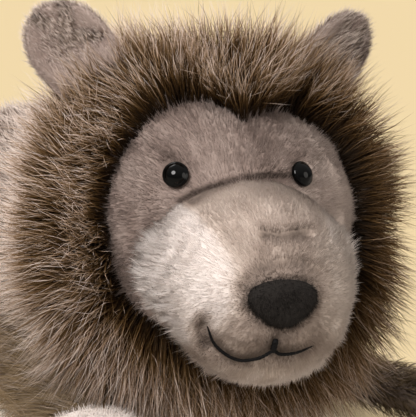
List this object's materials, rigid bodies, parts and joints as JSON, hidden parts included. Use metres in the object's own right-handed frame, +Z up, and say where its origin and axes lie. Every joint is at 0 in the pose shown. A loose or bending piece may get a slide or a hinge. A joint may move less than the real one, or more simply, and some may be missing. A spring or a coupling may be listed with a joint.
{
  "type": "plush wolf",
  "caption": "Stuffed plush wolf lying on its belly, with a long-pile mane round a short-pile face, a broad cream muzzle, bead eyes, round ears, outstretched legs and a bushy tail.",
  "frame": {"origin": "middle of the flat on which the belly rests", "axes": "+Z up, the wolf faces -Y, its left side is +X"},
  "size_m": [0.3017, 0.5796, 0.2053],
  "materials": {
    "long_pile": "matte",
    "short_pile": "matte",
    "cream_pile": "matte",
    "ear_lining": "matte",
    "backing": "matte",
    "stuffing": "matte",
    "nose_felt": "matte",
    "thread": "satin",
    "eye_bead": "gloss",
    "washer": "satin"
  },
  "bodies": {
    "torso": {"body_skin": "long_pile", "body_stuffing": "stuffing"},
    "neck": {"neck_gusset": "backing"},
    "head": {"mane_skin": "long_pile", "face_panel": "short_pile", "muzzle_panel": "cream_pile", "head_stuffing": "stuffing", "nose": "nose_felt", "mouth_thread": "thread", "right_eye": "eye_bead", "right_eye_washer": "washer", "left_eye": "eye_bead", "left_eye_washer": "washer"},
    "right_ear": {"right_ear_back": "long_pile", "right_ear_lining": "ear_lining"},
    "left_ear": {"left_ear_back": "long_pile", "left_ear_lining": "ear_lining"},
    "right_foreleg": {"right_foreleg_skin": "long_pile", "right_foreleg_stuffing": "stuffing", "right_forepaw": "cream_pile"},
    "left_foreleg": {"left_foreleg_skin": "long_pile", "left_foreleg_stuffing": "stuffing", "left_forepaw": "cream_pile"},
    "right_hindleg": {"right_hindleg_skin": "long_pile", "right_hindleg_stuffing": "stuffing", "right_hindpaw": "cream_pile"},
    "left_hindleg": {"left_hindleg_skin": "long_pile", "left_hindleg_stuffing": "stuffing", "left_hindpaw": "cream_pile"},
    "tail": {"tail_skin": "long_pile", "tail_stuffing": "stuffing"}
  },
  "joints": [
    {"name": "neck_turn", "type": "hinge", "parent": "torso", "child": "neck", "pos_m": [0, -0.163, 0.099], "axis": [0, 0, 1], "range_deg": [-20, 20], "stiffness_Nm_per_rad": 1.5},
    {"name": "head_nod", "type": "hinge", "parent": "neck", "child": "head", "pos_m": [0, -0.163, 0.099], "axis": [1, 0, 0], "range_deg": [-18, 8], "stiffness_Nm_per_rad": 3, "springref_deg": -1.72},
    {"name": "right_ear_fold", "type": "hinge", "parent": "head", "child": "right_ear", "pos_m": [-0.05665, -0.21847, 0.1737], "axis": [0.6868, -0.3652, 0.6284], "range_deg": [-18, 18], "stiffness_Nm_per_rad": 0.05},
    {"name": "left_ear_fold", "type": "hinge", "parent": "head", "child": "left_ear", "pos_m": [0.05665, -0.21847, 0.1737], "axis": [0.6868, 0.3652, -0.6284], "range_deg": [-18, 18], "stiffness_Nm_per_rad": 0.05},
    {"name": "right_foreleg_swing", "type": "hinge", "parent": "torso", "child": "right_foreleg", "pos_m": [-0.056, -0.09, 0.034], "axis": [0, 0, 1], "range_deg": [-30, 4], "stiffness_Nm_per_rad": 0.4},
    {"name": "left_foreleg_swing", "type": "hinge", "parent": "torso", "child": "left_foreleg", "pos_m": [0.056, -0.09, 0.034], "axis": [0, 0, 1], "range_deg": [-28, 10], "stiffness_Nm_per_rad": 0.4},
    {"name": "right_hindleg_swing", "type": "hinge", "parent": "torso", "child": "right_hindleg", "pos_m": [-0.054, 0.056, 0.036], "axis": [0, 0, 1], "range_deg": [-8, 20], "stiffness_Nm_per_rad": 0.4},
    {"name": "left_hindleg_swing", "type": "hinge", "parent": "torso", "child": "left_hindleg", "pos_m": [0.054, 0.056, 0.036], "axis": [0, 0, 1], "range_deg": [-20, 8], "stiffness_Nm_per_rad": 0.4},
    {"name": "tail_wag", "type": "hinge", "parent": "torso", "child": "tail", "pos_m": [0, 0.106, 0.066], "axis": [0, 0, 1], "range_deg": [-25, 25], "stiffness_Nm_per_rad": 0.2}
  ]
}
